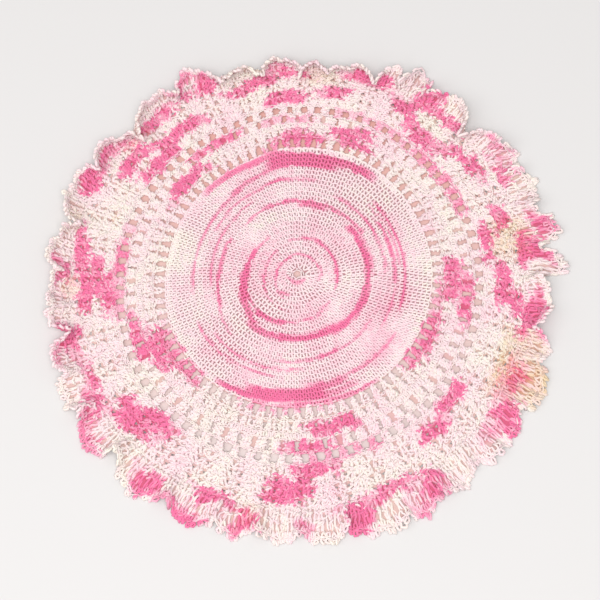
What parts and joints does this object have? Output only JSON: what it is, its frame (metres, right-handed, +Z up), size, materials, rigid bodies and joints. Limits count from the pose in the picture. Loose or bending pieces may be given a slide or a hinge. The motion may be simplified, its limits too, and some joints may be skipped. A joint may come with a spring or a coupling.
{
  "type": "lace doily",
  "caption": "Round crocheted cotton lace doily lying flat: a close middle disc, rounds of openwork and shells, and a gathered frill that stands in soft folds at the edge.",
  "frame": {"origin": "on the underside, below the middle of the outline", "axes": "+Z up from the underside through the cloth; +X and +Y lie in the cloth, with the frill standing highest towards +Y and lying most spread towards -Y"},
  "size_m": [0.257, 0.2558, 0.0128],
  "materials": {
    "crochet_cotton": "matte mercerised crochet cotton, white and pink"
  },
  "bodies": {
    "root": {"doily": "crochet_cotton"}
  },
  "joints": []
}
